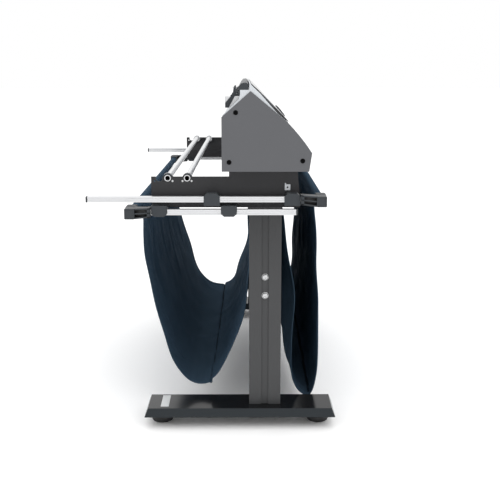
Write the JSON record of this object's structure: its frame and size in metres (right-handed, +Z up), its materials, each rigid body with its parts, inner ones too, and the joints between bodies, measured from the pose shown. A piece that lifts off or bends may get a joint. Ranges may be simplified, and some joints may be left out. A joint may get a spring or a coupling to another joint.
{
  "type": "roll-fed vinyl cutter",
  "caption": "Roll-fed sign vinyl cutter on a T-foot stand with media rollers and an adjustable two-pocket cloth basket.",
  "frame": {"origin": "on the floor, under the middle of the machine's box", "axes": "+X along the machine's length, +Y to the rear where the supply roll lies, -Y to the operator, +Z up"},
  "size_m": [1.776, 0.7886, 1.145],
  "materials": {
    "gloss_black": "gloss powder coat",
    "rubber": "matt rubber",
    "zinc_steel": "zinc plated",
    "black_screw": "black oxide",
    "stand_grey": "fine texture powder coat",
    "bracket_grey": "fine texture powder coat",
    "panel_grey": "fine texture powder coat",
    "dark_plastic": "moulded satin",
    "aluminium": "satin anodised",
    "steel": "ground",
    "navy_cloth": "woven polyester",
    "pale_plastic": "moulded satin",
    "smoked": "smoked",
    "inner_metal": "plain",
    "board": "solder mask"
  },
  "bodies": {
    "stand": {"foot_left": "gloss_black", "foot_right": "gloss_black", "levelling_pads": "rubber", "levelling_studs": "zinc_steel", "frame_bolts": "zinc_steel", "beam_bolts": "zinc_steel", "panel_screws": "black_screw", "column_left": "stand_grey", "column_right": "stand_grey", "cross_beam": "stand_grey", "side_bracket_left": "bracket_grey", "side_bracket_right": "bracket_grey", "end_panel_left": "panel_grey", "end_panel_right": "panel_grey", "roller_bearings": "dark_plastic", "upper_rail_clamps": "dark_plastic", "lower_rail_clamps": "dark_plastic", "tube_sockets": "dark_plastic", "beam_cap": "dark_plastic", "control_panel": "dark_plastic", "power_inlet": "dark_plastic", "drum_bearings": "dark_plastic", "guide_beam": "aluminium", "platen": "aluminium", "ridge_tubes": "steel", "rear_basket": "navy_cloth", "front_basket": "navy_cloth", "end_covers": "pale_plastic", "front_apron": "pale_plastic", "rear_apron": "pale_plastic", "cable_tie_base": "pale_plastic", "cutting_strip": "pale_plastic", "carriage_belt": "rubber", "base_pan": "inner_metal", "power_supply": "inner_metal", "drum_motor": "inner_metal", "carriage_motor": "inner_metal", "main_board": "board"},
    "front_frame": {"upper_rails": "aluminium", "upper_rail_caps": "dark_plastic", "front_corners": "dark_plastic", "front_tube": "steel"},
    "rear_frame": {"lower_rails": "aluminium", "lower_rail_caps": "dark_plastic", "rear_corners": "dark_plastic", "rear_tube": "steel"},
    "roller_rear": {"media_roller_rear": "aluminium"},
    "roller_front": {"media_roller_front": "aluminium"},
    "drum": {"feed_drum": "steel"},
    "pinch_lift": {"pinch_arms": "dark_plastic", "lift_lever": "dark_plastic"},
    "pinch_wheels": {"pinch_rollers": "rubber"},
    "tool_carriage": {"carriage": "dark_plastic"},
    "tool": {"blade_holder": "steel"},
    "drive_wheel": {"drive_pulley": "steel"},
    "idler_wheel": {"idler_pulley": "steel"},
    "hood": {"hood_frame": "pale_plastic", "hood_window": "smoked"},
    "pause_key": {"pause_button": "rubber"},
    "mains_rocker": {"power_switch": "dark_plastic"}
  },
  "joints": [
    {"name": "front_frame_slide", "type": "slide", "parent": "stand", "child": "front_frame", "axis": [0, -1, 0], "range_m": [0, 0.34]},
    {"name": "rear_frame_slide", "type": "slide", "parent": "stand", "child": "rear_frame", "axis": [0, 1, 0], "range_m": [0, 0.175]},
    {"name": "rear_roller_spin", "type": "hinge", "parent": "stand", "child": "roller_rear", "pos_m": [0, 0.14675, 0.856], "axis": [1, 0, 0], "continuous": true},
    {"name": "front_roller_spin", "type": "hinge", "parent": "stand", "child": "roller_front", "pos_m": [0, 0.08675, 0.856], "axis": [1, 0, 0], "continuous": true},
    {"name": "drum_spin", "type": "hinge", "parent": "stand", "child": "drum", "pos_m": [0, -0.06525, 1.046], "axis": [1, 0, 0], "continuous": true},
    {"name": "pinch_lift_turn", "type": "hinge", "parent": "stand", "child": "pinch_lift", "pos_m": [0, -0.03925, 1.078], "axis": [1, 0, 0], "range_deg": [-12, 0]},
    {"name": "pinch_spin", "type": "hinge", "parent": "pinch_lift", "child": "pinch_wheels", "pos_m": [0, -0.06525, 1.0704], "axis": [1, 0, 0], "continuous": true},
    {"name": "carriage_slide", "type": "slide", "parent": "stand", "child": "tool_carriage", "axis": [1, 0, 0], "range_m": [-0.74, 0.74]},
    {"name": "tool_plunge", "type": "slide", "parent": "tool_carriage", "child": "tool", "axis": [0, 0, -1], "range_m": [0, 0.003], "stiffness_N_per_m": 900, "springref_m": -0.0006},
    {"name": "drive_pulley_spin", "type": "hinge", "parent": "stand", "child": "drive_wheel", "pos_m": [0.845, -0.09225, 1.086], "axis": [0, 0, 1], "continuous": true},
    {"name": "idler_pulley_spin", "type": "hinge", "parent": "stand", "child": "idler_wheel", "pos_m": [-0.845, -0.09225, 1.086], "axis": [0, 0, 1], "continuous": true},
    {"name": "hood_lift", "type": "hinge", "parent": "stand", "child": "hood", "pos_m": [0, -0.10425, 1.142], "axis": [1, 0, 0], "range_deg": [-65, 0]},
    {"name": "pause_press", "type": "slide", "parent": "stand", "child": "pause_key", "axis": [0, 0.7714, -0.6364], "range_m": [0, 0.0012], "stiffness_N_per_m": 400, "springref_m": -0.0005},
    {"name": "mains_rock", "type": "hinge", "parent": "stand", "child": "mains_rocker", "pos_m": [0, -0.02725, 0.918], "axis": [1, 0, 0], "range_deg": [0, 10]}
  ],
  "couplings": [
    {"joint": "pinch_spin", "follows": "drum_spin", "ratio": -1.4},
    {"joint": "drive_pulley_spin", "follows": "carriage_slide", "rad_per_m": 114.29},
    {"joint": "idler_pulley_spin", "follows": "carriage_slide", "rad_per_m": 114.29}
  ]
}
